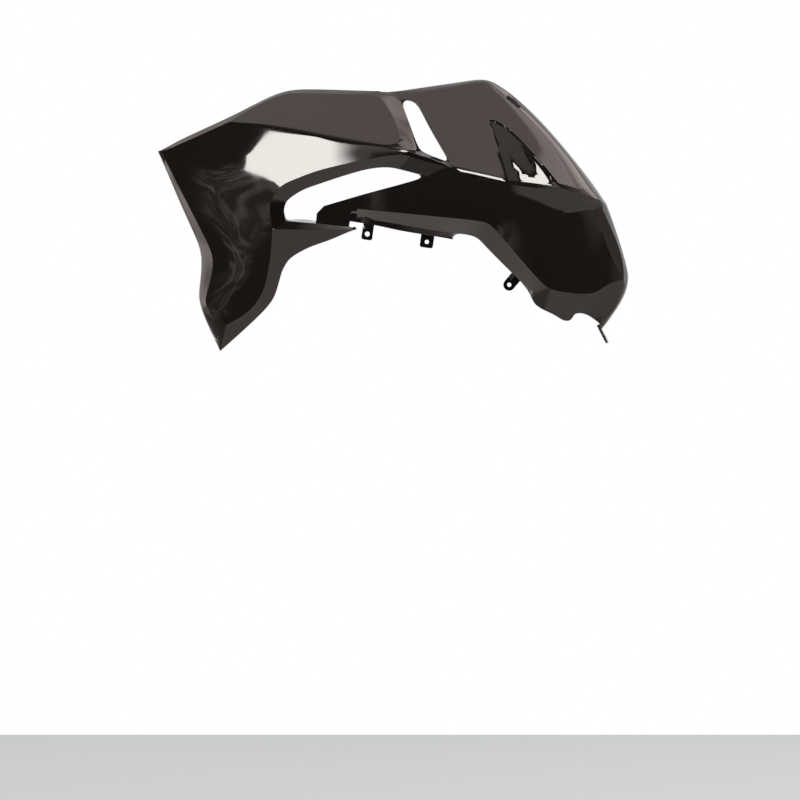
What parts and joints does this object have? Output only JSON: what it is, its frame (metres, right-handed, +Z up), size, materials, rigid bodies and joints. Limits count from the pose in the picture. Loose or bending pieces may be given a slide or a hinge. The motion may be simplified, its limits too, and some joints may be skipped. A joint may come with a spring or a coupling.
{
  "type": "motorcycle tank side cover",
  "caption": "Moulded side cover for a motorcycle fuel tank: a folded wing with a down-swept fin, a long open slot, a vent slit, a rear body panel and small screw tabs.",
  "frame": {"origin": "middle of the hole in the middle fixing tab of the lower edge, on the tab's back face", "axes": "+X to the rear of the motorcycle, -Y outward from its left side, +Z up"},
  "size_m": [0.598, 0.1012, 0.3473],
  "materials": {
    "gloss_black": "gloss"
  },
  "bodies": {
    "root": {"side_cover": "gloss_black"}
  },
  "joints": []
}
